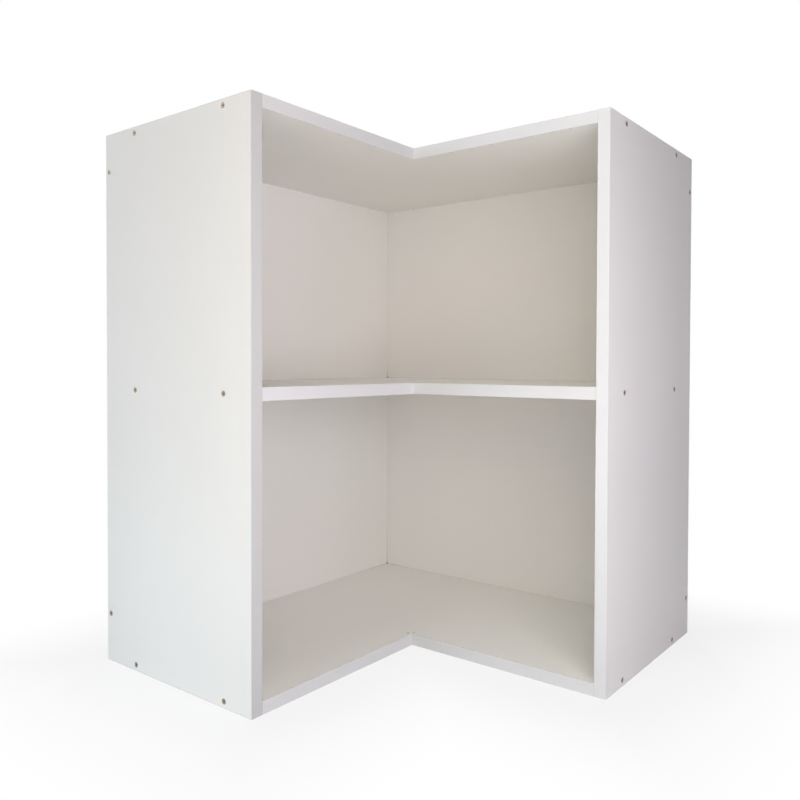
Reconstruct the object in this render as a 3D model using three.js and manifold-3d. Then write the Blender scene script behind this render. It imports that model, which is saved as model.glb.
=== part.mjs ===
import * as THREE from "three";
import { mergeVertices } from "three/addons/utils/BufferGeometryUtils.js";
import Module from "manifold-3d";

// Corner wall cabinet with an open L-shaped front, built from melamine-faced boards: two end panels, two back
// panels and three L-shaped decks (top, shelf and bottom), edge-banded where an edge shows and screwed together.
//
// Millimetres, +Z up. The walls are the planes x = WALL_X, behind the left arm, and y = WALL_Y, behind the right
// arm, and they meet in the room's corner. The left arm runs along the left wall towards -Y and the right arm along
// the rear wall towards +X. The origin is at the bottom, in the middle of the cabinet's box.

// ---- Driving dimensions ----

// The cabinet
const REAR_WALL_RUN = 600; // along X, from the left wall to the outer face of the right end panel
const LEFT_WALL_RUN = 600; // along Y, from the rear wall to the outer face of the left end panel
const HEIGHT = 720;
const LEFT_ARM_DEPTH = 300; // from the left wall to the left arm's front edges
const RIGHT_ARM_DEPTH = 300; // from the rear wall to the right arm's front edges
const SHELF_RISE = 350; // clear height between the bottom deck and the shelf

// The boards
const END_THICKNESS = 16;
const DECK_THICKNESS = 16;
const BACK_THICKNESS = 16;
const BAND_THICKNESS = 0.5;

// The countersunk chipboard screw, with its lengths measured from the top of its head
const SCREW_LENGTH = 50;
const SHANK_DIAMETER = 3.5;
const HEAD_DIAMETER = 7;
const HEAD_RIM = 0.4; // height of the cylindrical rim above the head's cone
const HEAD_CONE = 1.75;
const POINT_LENGTH = 5;
const RECESS_SPAN = 3.6; // the cross recess, tip to tip
const RECESS_WIDTH = 0.9;
const RECESS_DEPTH = 1.6;
const SCREW_SINK = 0.4; // how far the head is driven below the board's face
const SCREW_CLEARANCE = 0.3; // between the screw and the wall of its hole, all round
const HOLE_END_ROOM = 1; // left free in front of the screw's point

// Where the screws go
const END_SCREW_FRONT_INSET = 50; // in an end panel, from the front edge to the front row
const END_SCREW_REAR_INSET = 52; // in an end panel, from the back panel's inner face to the rear row
const UPPER_EDGE_SCREW_DROP = 51; // from the cabinet's top to the uppermost screw in a back panel's edge
const LEFT_LOWER_SCREW_RISE = 65; // from the cabinet's bottom to the lowest one in the left back panel's front edge
const RIGHT_LOWER_SCREW_RISE = 55; // the same at the right end of the rear back panel
const CORNER_LOWER_SCREW_RISE = 60; // the same where the two back panels meet
const CORNER_SCREW_COUNT = 3;
const BACK_SCREW_INSET = 90; // in a back panel, from an end of the decks to the nearest screw

// Finish
const ROUND_STEPS = 16; // sides of everything round
const OVERCUT = 1; // how far a cutter runs past the face that it cuts
const BOARD_COLOUR = 0xe6e3e0;
const BAND_COLOUR = 0xeceae8;
const SCREW_COLOUR = 0x8a7f70;

// ---- Places worked out from them ----

const WALL_X = -REAR_WALL_RUN / 2;
const WALL_Y = LEFT_WALL_RUN / 2;
const RIGHT_END_X = WALL_X + REAR_WALL_RUN; // outer face of the right end panel
const LEFT_END_Y = WALL_Y - LEFT_WALL_RUN; // outer face of the left end panel
const FRONT_X = WALL_X + LEFT_ARM_DEPTH; // front edges of the left arm
const FRONT_Y = WALL_Y - RIGHT_ARM_DEPTH; // front edges of the right arm

const INNER_RIGHT_X = RIGHT_END_X - END_THICKNESS; // inner faces of the end and back panels
const INNER_LEFT_Y = LEFT_END_Y + END_THICKNESS;
const INNER_WALL_X = WALL_X + BACK_THICKNESS;
const INNER_WALL_Y = WALL_Y - BACK_THICKNESS;
const BANDED_FRONT_X = FRONT_X - BAND_THICKNESS; // the boards end here, behind their bands
const BANDED_FRONT_Y = FRONT_Y + BAND_THICKNESS;

// The decks from the top down, each with the height of its underside.
const DECKS = [
  { name: "top", node: "top_panel", bottom: HEIGHT - DECK_THICKNESS },
  { name: "shelf", node: "shelf", bottom: DECK_THICKNESS + SHELF_RISE },
  { name: "bottom", node: "bottom_panel", bottom: 0 },
];

// ---- Solids ----

const manifold = await Module();
manifold.setup();

// A geometry as a solid that can be cut. Its vertices are shared first, so its seams close.
function toSolid(geometry) {
  const bare = geometry.clone();
  bare.deleteAttribute("normal");
  bare.deleteAttribute("uv");
  const merged = mergeVertices(bare);
  return new manifold.Manifold(
    new manifold.Mesh({
      numProp: 3,
      vertProperties: merged.attributes.position.array,
      triVerts: new Uint32Array(merged.index.array),
    }),
  );
}

// The solid as a geometry with one normal per face.
function toGeometry(solid) {
  const mesh = solid.getMesh();
  const indexed = new THREE.BufferGeometry();
  indexed.setAttribute("position", new THREE.BufferAttribute(mesh.vertProperties, mesh.numProp));
  indexed.setIndex(new THREE.BufferAttribute(mesh.triVerts, 1));
  const faceted = indexed.toNonIndexed();
  faceted.computeVertexNormals();
  return faceted;
}

// A box between two opposite corners. Boards that touch share a coordinate, so the corners are kept exactly.
function boxBetween(low, high) {
  const size = new THREE.Vector3().subVectors(high, low);
  return new THREE.BoxGeometry(1, 1, 1)
    .translate(0.5, 0.5, 0.5)
    .applyMatrix4(new THREE.Matrix4().makeScale(size.x, size.y, size.z).setPosition(low));
}

// The L-shaped outline of a deck, seen from above, extruded to its thickness.
function deckSlab() {
  const outline = new THREE.Shape();
  outline.moveTo(INNER_WALL_X, INNER_LEFT_Y);
  outline.lineTo(BANDED_FRONT_X, INNER_LEFT_Y);
  outline.lineTo(BANDED_FRONT_X, BANDED_FRONT_Y);
  outline.lineTo(INNER_RIGHT_X, BANDED_FRONT_Y);
  outline.lineTo(INNER_RIGHT_X, INNER_WALL_Y);
  outline.lineTo(INNER_WALL_X, INNER_WALL_Y);
  outline.closePath();
  return new THREE.ExtrudeGeometry(outline, { depth: DECK_THICKNESS, bevelEnabled: false });
}

// A profile of [radius, depth] pairs turned about an axis. The profile is given from the top down, and the solid
// points along +Z, so that depth 0 lies in the plane z = 0.
function turned(profile) {
  const points = profile.map(([radius, depth]) => new THREE.Vector2(radius, -depth));
  return new THREE.LatheGeometry(points.reverse(), ROUND_STEPS).rotateX(-Math.PI / 2);
}

// The screw before it is placed: the top of its head in the plane z = 0 and its point towards +Z.
function screwGeometry() {
  const head = HEAD_DIAMETER / 2;
  const shank = SHANK_DIAMETER / 2;
  const body = turned([
    [0, 0],
    [head, 0],
    [head, HEAD_RIM],
    [shank, HEAD_RIM + HEAD_CONE],
    [shank, SCREW_LENGTH - POINT_LENGTH],
    [0, SCREW_LENGTH],
  ]);
  const slot = boxBetween(
    new THREE.Vector3(-RECESS_SPAN / 2, -RECESS_WIDTH / 2, -OVERCUT),
    new THREE.Vector3(RECESS_SPAN / 2, RECESS_WIDTH / 2, RECESS_DEPTH),
  );
  const crossSlot = slot.clone().rotateZ(Math.PI / 2);
  return toGeometry(toSolid(body).subtract(toSolid(slot)).subtract(toSolid(crossSlot)));
}

// The hole that takes the screw, countersunk for its head, with the board's face in the plane z = 0.
function holeGeometry() {
  const head = HEAD_DIAMETER / 2 + SCREW_CLEARANCE;
  const shank = SHANK_DIAMETER / 2 + SCREW_CLEARANCE;
  const coneTop = SCREW_SINK + HEAD_RIM;
  const bottom = SCREW_SINK + SCREW_LENGTH + HOLE_END_ROOM;
  return turned([
    [0, -OVERCUT],
    [head, -OVERCUT],
    [head, coneTop],
    [shank, coneTop + HEAD_CONE],
    [shank, bottom],
    [0, bottom],
  ]);
}

// ---- Screws ----

const INTO_LEFT_END = new THREE.Vector3(0, 1, 0);
const INTO_RIGHT_END = new THREE.Vector3(-1, 0, 0);
const INTO_REAR_BACK = new THREE.Vector3(0, -1, 0);
const INTO_LEFT_BACK = new THREE.Vector3(1, 0, 0);

// Every screw, with the point of its hole on the face that it is driven through, its direction, and the node of
// the board that it holds on to after that one.
function listScrews() {
  const screws = [];
  const drive = (name, through, into, direction, x, y, z) =>
    screws.push({ name: "screw_" + name, through, into, direction, face: new THREE.Vector3(x, y, z) });

  const endRows = {
    front: { x: FRONT_X - END_SCREW_FRONT_INSET, y: FRONT_Y + END_SCREW_FRONT_INSET },
    rear: { x: INNER_WALL_X + END_SCREW_REAR_INSET, y: INNER_WALL_Y - END_SCREW_REAR_INSET },
  };
  const backRows = {
    outer: { x: INNER_RIGHT_X - BACK_SCREW_INSET, y: INNER_LEFT_Y + BACK_SCREW_INSET },
    inner: { x: INNER_WALL_X + BACK_SCREW_INSET, y: INNER_WALL_Y - BACK_SCREW_INSET },
  };
  for (const deck of DECKS) {
    const z = deck.bottom + DECK_THICKNESS / 2;
    for (const [row, { x, y }] of Object.entries(endRows)) {
      const place = deck.name + "_" + row;
      drive("left_end_" + place, "left_end_panel", deck.node, INTO_LEFT_END, x, LEFT_END_Y, z);
      drive("right_end_" + place, "right_end_panel", deck.node, INTO_RIGHT_END, RIGHT_END_X, y, z);
    }
    for (const [row, { x, y }] of Object.entries(backRows)) {
      const place = deck.name + "_" + row;
      drive("rear_back_" + place, "rear_back_panel", deck.node, INTO_REAR_BACK, x, WALL_Y, z);
      drive("left_back_" + place, "left_back_panel", deck.node, INTO_LEFT_BACK, WALL_X, y, z);
    }
  }

  const edgeX = WALL_X + BACK_THICKNESS / 2; // middle of the left back panel's thickness
  const edgeY = WALL_Y - BACK_THICKNESS / 2; // middle of the rear back panel's thickness
  const upper = HEIGHT - UPPER_EDGE_SCREW_DROP;
  const leftHeights = { upper, lower: LEFT_LOWER_SCREW_RISE };
  for (const [place, z] of Object.entries(leftHeights))
    drive("left_end_edge_" + place, "left_end_panel", "left_back_panel", INTO_LEFT_END, edgeX, LEFT_END_Y, z);
  const rightHeights = { upper, lower: RIGHT_LOWER_SCREW_RISE };
  for (const [place, z] of Object.entries(rightHeights))
    drive("right_end_edge_" + place, "right_end_panel", "rear_back_panel", INTO_RIGHT_END, RIGHT_END_X, edgeY, z);

  const cornerPitch = (upper - CORNER_LOWER_SCREW_RISE) / (CORNER_SCREW_COUNT - 1);
  for (let i = 0; i < CORNER_SCREW_COUNT; i++) {
    const z = CORNER_LOWER_SCREW_RISE + i * cornerPitch;
    drive("corner_" + (i + 1), "rear_back_panel", "left_back_panel", INTO_REAR_BACK, edgeX, WALL_Y, z);
  }
  return screws;
}

const SCREWS = listScrews();
const FORWARD = new THREE.Vector3(0, 0, 1); // the way that the unplaced screw points
const HOLE = holeGeometry();

// The board with the holes of all the screws that pass through it or end in it.
function drilled(node, geometry) {
  let solid = toSolid(geometry);
  for (const screw of SCREWS) {
    if (screw.through !== node && screw.into !== node) continue;
    const turn = new THREE.Quaternion().setFromUnitVectors(FORWARD, screw.direction);
    const hole = HOLE.clone().applyQuaternion(turn).translate(screw.face.x, screw.face.y, screw.face.z);
    solid = solid.subtract(toSolid(hole));
  }
  return toGeometry(solid);
}

// ---- Scene ----

function boardMaterial() {
  return new THREE.MeshStandardMaterial({ color: BOARD_COLOUR, roughness: 0.42, metalness: 0 });
}

function bandMaterial() {
  return new THREE.MeshStandardMaterial({ color: BAND_COLOUR, roughness: 0.35, metalness: 0 });
}

function screwMaterial() {
  return new THREE.MeshStandardMaterial({ color: SCREW_COLOUR, roughness: 0.4, metalness: 0.9 });
}

function namedMesh(name, geometry, material) {
  const mesh = new THREE.Mesh(geometry, material);
  mesh.name = name;
  return mesh;
}

function board(node, low, high) {
  return namedMesh(node, drilled(node, boxBetween(low, high)), boardMaterial());
}

function band(node, low, high) {
  return namedMesh(node, boxBetween(low, high), bandMaterial());
}

// The left end panel, with its bands on the front, top and bottom edges.
function leftEnd() {
  const group = new THREE.Group();
  const low = new THREE.Vector3(WALL_X, LEFT_END_Y, BAND_THICKNESS);
  const high = new THREE.Vector3(BANDED_FRONT_X, INNER_LEFT_Y, HEIGHT - BAND_THICKNESS);
  group.add(
    board("left_end_panel", low, high),
    band(
      "left_end_front_band",
      new THREE.Vector3(BANDED_FRONT_X, LEFT_END_Y, 0),
      new THREE.Vector3(FRONT_X, INNER_LEFT_Y, HEIGHT),
    ),
    band("left_end_top_band", low.clone().setZ(high.z), high.clone().setZ(HEIGHT)),
    band("left_end_bottom_band", low.clone().setZ(0), high.clone().setZ(low.z)),
  );
  return group;
}

// The right end panel, with its bands on the front, top and bottom edges.
function rightEnd() {
  const group = new THREE.Group();
  const low = new THREE.Vector3(INNER_RIGHT_X, BANDED_FRONT_Y, BAND_THICKNESS);
  const high = new THREE.Vector3(RIGHT_END_X, WALL_Y, HEIGHT - BAND_THICKNESS);
  group.add(
    board("right_end_panel", low, high),
    band(
      "right_end_front_band",
      new THREE.Vector3(INNER_RIGHT_X, FRONT_Y, 0),
      new THREE.Vector3(RIGHT_END_X, BANDED_FRONT_Y, HEIGHT),
    ),
    band("right_end_top_band", low.clone().setZ(high.z), high.clone().setZ(HEIGHT)),
    band("right_end_bottom_band", low.clone().setZ(0), high.clone().setZ(low.z)),
  );
  return group;
}

// The two back panels. The rear one covers the end of the left one in the corner.
function backs() {
  const group = new THREE.Group();
  group.add(
    board(
      "rear_back_panel",
      new THREE.Vector3(WALL_X, INNER_WALL_Y, 0),
      new THREE.Vector3(INNER_RIGHT_X, WALL_Y, HEIGHT),
    ),
    board(
      "left_back_panel",
      new THREE.Vector3(WALL_X, INNER_LEFT_Y, 0),
      new THREE.Vector3(INNER_WALL_X, INNER_WALL_Y, HEIGHT),
    ),
  );
  return group;
}

// A deck with its two front bands, which meet in the inside corner of the L.
function deckWithBands({ name, node, bottom }) {
  const group = new THREE.Group();
  const slab = deckSlab().translate(0, 0, bottom);
  const top = bottom + DECK_THICKNESS;
  group.add(
    namedMesh(node, drilled(node, slab), boardMaterial()),
    band(
      name + "_left_band",
      new THREE.Vector3(BANDED_FRONT_X, INNER_LEFT_Y, bottom),
      new THREE.Vector3(FRONT_X, FRONT_Y, top),
    ),
    band(
      name + "_right_band",
      new THREE.Vector3(BANDED_FRONT_X, FRONT_Y, bottom),
      new THREE.Vector3(INNER_RIGHT_X, BANDED_FRONT_Y, top),
    ),
  );
  return group;
}

// The screws, each sunk into the face that it is driven through.
function screws() {
  const group = new THREE.Group();
  const geometry = screwGeometry();
  for (const screw of SCREWS) {
    const mesh = namedMesh(screw.name, geometry, screwMaterial());
    mesh.position.copy(screw.face).addScaledVector(screw.direction, SCREW_SINK);
    mesh.quaternion.setFromUnitVectors(FORWARD, screw.direction);
    group.add(mesh);
  }
  return group;
}

const cabinet = new THREE.Group();
cabinet.name = "corner_wall_cabinet";
cabinet.add(leftEnd(), rightEnd(), backs(), ...DECKS.map(deckWithBands), screws());

export default cabinet;
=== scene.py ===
"""Corner wall cabinet of white melamine-faced board, dressed for its portrait.

The packed model gives every board, edge band and screw as a plain solid. Each one is modelled again here,
in the same place and size, with its sawn edges, drilled holes, trimmed ends or threads, and gets its
finish. Lengths are in metres and +Z is up. The walls of the room would be behind the cabinet at -X and
+Y, and its two open fronts look along +X and -Y.
"""

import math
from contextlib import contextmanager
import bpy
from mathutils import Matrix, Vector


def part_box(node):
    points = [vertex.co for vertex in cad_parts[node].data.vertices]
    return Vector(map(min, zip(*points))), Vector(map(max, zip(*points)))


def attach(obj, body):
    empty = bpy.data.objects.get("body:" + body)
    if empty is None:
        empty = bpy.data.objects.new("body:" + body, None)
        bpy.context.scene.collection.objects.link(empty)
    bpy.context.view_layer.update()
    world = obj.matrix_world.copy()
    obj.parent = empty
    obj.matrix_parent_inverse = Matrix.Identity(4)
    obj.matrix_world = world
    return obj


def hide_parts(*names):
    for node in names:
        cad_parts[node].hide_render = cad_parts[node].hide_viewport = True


bl_info = {
    "name": "Corner Wall Cabinet",
    "version": (1, 0, 0),
    "blender": (4, 5, 0),
    "location": "View3D > Sidebar > Cabinet",
    "description": "Models an open corner wall cabinet of edge-banded board and lights it",
    "category": "Add Mesh",
}

import bmesh
import bpy
from bpy.props import FloatProperty, FloatVectorProperty, PointerProperty
from mathutils import Matrix, Vector
from mathutils.bvhtree import BVHTree

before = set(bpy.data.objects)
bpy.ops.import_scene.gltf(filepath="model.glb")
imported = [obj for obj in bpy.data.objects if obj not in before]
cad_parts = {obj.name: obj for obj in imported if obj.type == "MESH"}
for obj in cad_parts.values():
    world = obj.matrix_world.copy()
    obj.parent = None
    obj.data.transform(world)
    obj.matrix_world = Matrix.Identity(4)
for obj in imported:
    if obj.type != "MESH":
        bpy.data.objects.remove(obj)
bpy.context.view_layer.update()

MM = 0.001
BODY = "root"

# ---- Directions, and what each node of the model is ----

RIGHT = Vector((1, 0, 0))
LEFT = Vector((-1, 0, 0))
BACK = Vector((0, 1, 0))
FRONT = Vector((0, -1, 0))
UP = Vector((0, 0, 1))
DOWN = Vector((0, 0, -1))

END_PANELS = ("left_end_panel", "right_end_panel")
BACK_PANELS = ("rear_back_panel", "left_back_panel")
DECKS = {"top": "top_panel", "shelf": "shelf", "bottom": "bottom_panel"}

# The side of each edge band that shows.
END_BANDS = {
    "left_end_front_band": RIGHT,
    "left_end_top_band": UP,
    "left_end_bottom_band": DOWN,
    "right_end_front_band": FRONT,
    "right_end_top_band": UP,
    "right_end_bottom_band": DOWN,
}
DECK_BANDS = {f"{deck}_left_band": RIGHT for deck in DECKS} | {f"{deck}_right_band": FRONT for deck in DECKS}

# The way that the screws of each group were driven.
SCREW_GROUPS = {
    "screw_left_end_": BACK,
    "screw_right_end_": LEFT,
    "screw_rear_back_": FRONT,
    "screw_left_back_": RIGHT,
    "screw_corner_": FRONT,
}
SCREWS = {
    node: way
    for group, way in SCREW_GROUPS.items()
    for node in sorted(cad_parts)
    if node.startswith(group)
}

TOUCH = 0.01 * MM  # closer than this, two places are the same
DOUBLE = 0.001 * MM  # closer than this, two corners of a mesh are one
NIBBLE = 0.9 * MM  # how far a saw's nibbles reach beside an edge band
JOINT = 0.4 * MM  # how far the dust and painted shade in an inner joint reach
CORNER_SHADE_REACH = 2.2 * MM  # how far the painted shade of the dark gap in an inner corner reaches
GOLDEN_ANGLE = math.pi * (3 - math.sqrt(5))  # no two screws stop at the same turn
ROUND_ANGLE = math.radians(35)  # faces that meet at less than this are shaded as one curve
FLAT_ANGLE = 0.1  # radians, below which two faces of a board lie in one plane
PARALLEL = 0.99  # the cosine above which two ways count as one
SCREW_SIDES = 32
PIT_SIDES = 16
THREAD_STEPS = 16  # in one turn
POINT_STEPS = 5
SLIVER = 0.02  # the share of its width that a thread or point keeps at its end
OVERCUT = 1.0 * MM  # how far a cutter runs past the face that it cuts

# Knocks from the workshop: the middle of each chip and its width, and how ragged and how flat all are.
CHIPS = (
    ((-7.0 * MM, -1.6 * MM, 16.2 * MM), 4.2 * MM),
    ((-1.2 * MM, 5.6 * MM, 16.2 * MM), 2.8 * MM),
    ((89.0 * MM, 0.1 * MM, 16.1 * MM), 2.4 * MM),
    ((92.0 * MM, -0.1 * MM, 3.4 * MM), 1.0 * MM),
    ((115.0 * MM, 0.1 * MM, 16.2 * MM), 1.7 * MM),
    ((133.0 * MM, 0.1 * MM, 16.2 * MM), 1.5 * MM),
    ((-220.0 * MM, 284.2 * MM, 702.9 * MM), 2.4 * MM),
)
CHIP_RAGGED = 0.22
CHIP_FLATNESS = 0.55
CHIP_REACH = 0.6  # of its width: how far from its middle its torn faces lie


# ---- Sizes and colours that can be changed ----


def length(name, description, default):
    kind = {"unit": "LENGTH", "subtype": "DISTANCE", "precision": 5, "min": 0.0}
    return FloatProperty(name=name, description=description, default=default, **kind)


def colour(name, description, default):
    kind = {"size": 3, "min": 0.0, "max": 1.0, "subtype": "COLOR"}
    return FloatVectorProperty(name=name, description=description, default=default, **kind)


def share(name, description, default):
    kind = {"min": 0.0, "max": 1.0, "subtype": "FACTOR"}
    return FloatProperty(name=name, description=description, default=default, **kind)


class BoardSettings(bpy.types.PropertyGroup):
    """The melamine-faced boards and their holes."""

    arris: length("Arris", "Width of the flat that breaks a board's outer edges", 0.2 * MM)
    joint_arris: length("Joint arris", "The wider flat on the edges that butt on a board", 0.45 * MM)
    skin: length("Skin", "Thickness of the melamine skin", 0.3 * MM)
    corner_nick: length("Corner nick", "What is clipped off a deck where the back panels meet", 3.0 * MM)
    mouth_clearance: length("Mouth clearance", "Room all round a screw's head", 0.12 * MM)
    hole_clearance: length("Hole clearance", "Room all round a screw's shank", 0.3 * MM)
    hole_room: length("Hole room", "Room in front of a screw's point", 1.0 * MM)
    face_colour: colour("Face colour", "White of the melamine faces", (0.915, 0.898, 0.86))
    face_gloss: share("Face roughness", "Roughness of the satin melamine faces", 0.5)
    chip_light: colour("Light chips", "Pale wood chips in a sawn edge", (0.60, 0.45, 0.29))
    chip_dark: colour("Dark chips", "Dark wood chips in a sawn edge", (0.25, 0.155, 0.09))
    torn_colour: colour("Torn core", "Dark core that a chipped edge lays bare", (0.20, 0.14, 0.085))
    # Painted shade with some dust: the dark colour laid along the inner joints and into the room's corners.
    joint_dust_and_shade: colour("Joint dirt", "Dust and shade along the inner joints", (0.30, 0.29, 0.235))


class BandSettings(bpy.types.PropertyGroup):
    """The edge bands."""

    rounding: length("Rounding", "Radius of the trimmed long edges", 0.3 * MM)
    end_easing: length("End easing", "Flat on the cut ends of a band", 0.18 * MM)
    glue_line: length("Glue line", "Thickness of the glue between band and board", 0.07 * MM)
    band_colour: colour("Band colour", "White of the edge bands", (0.757, 0.753, 0.755))
    # Painted shade: a darker white that the left end panel's bands get for the shade that falls on them.
    shaded_band_colour: colour("Second band colour", "The left end panel's greyer roll", (0.612, 0.604, 0.604))
    band_gloss: share("Band roughness", "Roughness of the edge bands", 0.36)
    glue_colour: colour("Glue colour", "Glue squeezed out along a band", (0.52, 0.47, 0.38))


class ScrewSettings(bpy.types.PropertyGroup):
    """The countersunk chipboard screw."""

    head_width: length("Head width", "Diameter of the countersunk head", 7.0 * MM)
    head_rim: length("Head rim", "Height of the head's rim", 0.4 * MM)
    head_cone: length("Head cone", "Height of the cone under the rim", 1.75 * MM)
    thread_width: length("Thread width", "Outer diameter of the thread", 3.5 * MM)
    core_width: length("Core width", "Diameter of the core between the threads", 2.2 * MM)
    neck_width: length("Neck width", "Diameter of the plain neck", 2.5 * MM)
    neck: length("Neck length", "Plain part, from the top of the head", 18.0 * MM)
    pitch: length("Pitch", "Rise of the thread in one turn", 1.8 * MM)
    point: length("Point length", "Tapered end of the screw", 5.0 * MM)
    recess_span: length("Recess span", "The cross recess, tip to tip", 3.6 * MM)
    recess_width: length("Recess width", "Width of the recess's wings", 0.9 * MM)
    recess_depth: length("Recess depth", "Depth of the recess", 1.6 * MM)
    pit_width: length("Pit width", "The round middle of the recess", 2.3 * MM)
    sink: length("Sink", "How far the head lies below the board's face", 0.4 * MM)
    steel_colour: colour("Steel colour", "Dull plated steel", (0.36, 0.297, 0.228))
    recess_colour: colour("Recess colour", "Dirt and shade down in the recess", (0.045, 0.036, 0.028))
    steel_gloss: share("Steel roughness", "Roughness of the plating", 0.42)


class StageSettings(bpy.types.PropertyGroup):
    """Floor, lamps and camera."""

    floor_radius: length("Floor radius", "Radius of the round floor", 6.0)
    floor_colour: colour("Floor colour", "Pale studio floor", (0.8, 0.8, 0.8))
    shadow: share("Shadow", "How much of the floor's own shade the camera sees", 0.22)


GROUPS = {
    "cabinet_boards": BoardSettings,
    "cabinet_bands": BandSettings,
    "cabinet_screws": ScrewSettings,
    "cabinet_stage": StageSettings,
}


# ---- Modelling by hand ----


def pick(*objects):
    """Selects only these objects, because an operator acts on all that is selected."""
    bpy.ops.object.select_all(action="DESELECT")
    for thing in objects:
        thing.select_set(True)
    bpy.context.view_layer.objects.active = objects[0]


@contextmanager
def shaping(piece, kind):
    """Edit mode on one piece, for picking parts of that kind, with nothing picked yet."""
    pick(piece)
    bpy.ops.object.mode_set(mode="EDIT")
    bpy.ops.mesh.select_mode(type=kind)
    bpy.ops.mesh.select_all(action="DESELECT")
    yield
    bpy.ops.object.mode_set(mode="OBJECT")


def pick_faces(piece, wanted):
    """In edit mode, picks the faces for which wanted(face) holds, and no others."""
    mesh = bmesh.from_edit_mesh(piece.data)
    for face in mesh.faces:
        face.select_set(bool(wanted(face)))
    bmesh.update_edit_mesh(piece.data)


def looks(face, way):
    """True if a face looks roughly that way."""
    return face.normal.dot(way) > 0.5


def pick_edges(piece, wanted):
    """In edit mode, picks the edges for which wanted(edge) holds, and no others."""
    mesh = bmesh.from_edit_mesh(piece.data)
    bpy.ops.mesh.select_all(action="DESELECT")
    for edge in mesh.edges:
        if wanted(edge):
            edge.select_set(True)
    bmesh.update_edit_mesh(piece.data)


def put_in_mesh(piece, name):
    """Moves the piece's place and size into its mesh and names it."""
    pick(piece)
    bpy.ops.object.transform_apply(location=True, rotation=True, scale=True)
    piece.name = name
    piece.data.name = name
    return piece


def block(name, low, high):
    """A closed block between two corners."""
    bpy.ops.mesh.primitive_cube_add(size=1, location=(low + high) / 2, scale=high - low)
    return put_in_mesh(bpy.context.object, name)


def turned(name, rings, sides):
    """A closed solid turned about Z, from (radius, height) pairs, built by extruding its top face."""
    (radius, start), (first_radius, first_height) = rings[:2]
    depth = first_height - start
    place = (0, 0, start + depth / 2)
    bpy.ops.mesh.primitive_cylinder_add(vertices=sides, radius=radius, depth=depth, location=place)
    piece = put_in_mesh(bpy.context.object, name)
    with shaping(piece, "FACE"):
        pick_faces(piece, lambda face: looks(face, UP))
        widen = first_radius / radius
        bpy.ops.transform.resize(value=(widen, widen, 1), center_override=(0, 0, first_height))
        for (last_radius, last_height), (radius, height) in zip(rings[1:], rings[2:]):
            rise = (0, 0, height - last_height)
            widen = radius / last_radius
            bpy.ops.mesh.extrude_region_move(TRANSFORM_OT_translate={"value": rise})
            bpy.ops.transform.resize(value=(widen, widen, 1), center_override=(0, 0, height))
        bpy.ops.mesh.select_all(action="SELECT")
        bpy.ops.mesh.normals_make_consistent(inside=False)
    return piece


def apply_modifier(piece, kind, **settings):
    """Adds a modifier to the piece and applies it at once."""
    modifier = piece.modifiers.new(kind.lower(), kind)
    for name, value in settings.items():
        setattr(modifier, name, value)
    pick(piece)
    bpy.ops.object.modifier_apply(modifier=modifier.name)


def combine(piece, tool, operation):
    """Joins the tool to the piece, or cuts it out of it, and throws the tool away."""
    apply_modifier(piece, "BOOLEAN", operation=operation, solver="EXACT", object=tool)
    bpy.data.objects.remove(tool)


def mend(piece):
    """Merges doubled corners and turns the faces outwards, because a cut can leave both wrong."""
    with shaping(piece, "VERT"):
        bpy.ops.mesh.select_all(action="SELECT")
        bpy.ops.mesh.remove_doubles(threshold=DOUBLE)
        bpy.ops.mesh.dissolve_degenerate(threshold=DOUBLE)
        if bmesh.from_edit_mesh(piece.data).calc_volume(signed=True) < 0:
            bpy.ops.mesh.select_all(action="SELECT")
            bpy.ops.mesh.flip_normals()


def placed_copy(piece, matrix, name):
    """A copy of the piece with a mesh of its own, moved by the matrix."""
    copy = piece.copy()
    copy.data = piece.data.copy()
    copy.data.transform(matrix)
    copy.name = name
    copy.data.name = name
    bpy.context.scene.collection.objects.link(copy)
    return copy


def joined(pieces):
    """The pieces as one object."""
    pick(*pieces)
    if len(pieces) > 1:
        bpy.ops.object.join()
    return pieces[0]


def smooth(piece):
    """Rounds the shading of curved faces, while flat faces stay flat up to their edges."""
    pick(piece)
    bpy.ops.object.shade_smooth_by_angle(angle=ROUND_ANGLE)
    apply_modifier(piece, "WEIGHTED_NORMAL", mode="FACE_AREA", keep_sharp=True)


def finish_piece(piece, nodes):
    """Makes the piece ride on the cabinet in place of the model's nodes."""
    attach(piece, BODY)
    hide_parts(*nodes)


# ---- Boxes ----


def meets(first, second):
    """True if two boxes, each a pair of corners, touch or overlap."""
    (low, high), (other_low, other_high) = first, second
    near = [low[i] <= other_high[i] + TOUCH and other_low[i] <= high[i] + TOUCH for i in range(3)]
    return all(near)


def thin_axis(low, high):
    """The axis, 0 to 2, along which a box is thinnest."""
    size = high - low
    return min(range(3), key=lambda axis: size[axis])


# ---- Materials ----


class Value:
    """An output of a node. Python's operators on it and on numbers add Math nodes."""

    def __init__(self, finish, output):
        self.finish = finish
        self.output = output

    def math(self, operation, *terms):
        return self.finish.node("ShaderNodeMath", {"operation": operation}, dict(enumerate(terms)))

    def __add__(self, other):
        return self.math("ADD", self, other)

    def __radd__(self, other):
        return self.math("ADD", other, self)

    def __sub__(self, other):
        return self.math("SUBTRACT", self, other)

    def __rsub__(self, other):
        return self.math("SUBTRACT", other, self)

    def __mul__(self, other):
        return self.math("MULTIPLY", self, other)

    def __rmul__(self, other):
        return self.math("MULTIPLY", other, self)

    def __gt__(self, other):
        return self.math("GREATER_THAN", self, other)

    def __lt__(self, other):
        return self.math("LESS_THAN", self, other)

    def __abs__(self):
        return self.math("ABSOLUTE", self)


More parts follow.
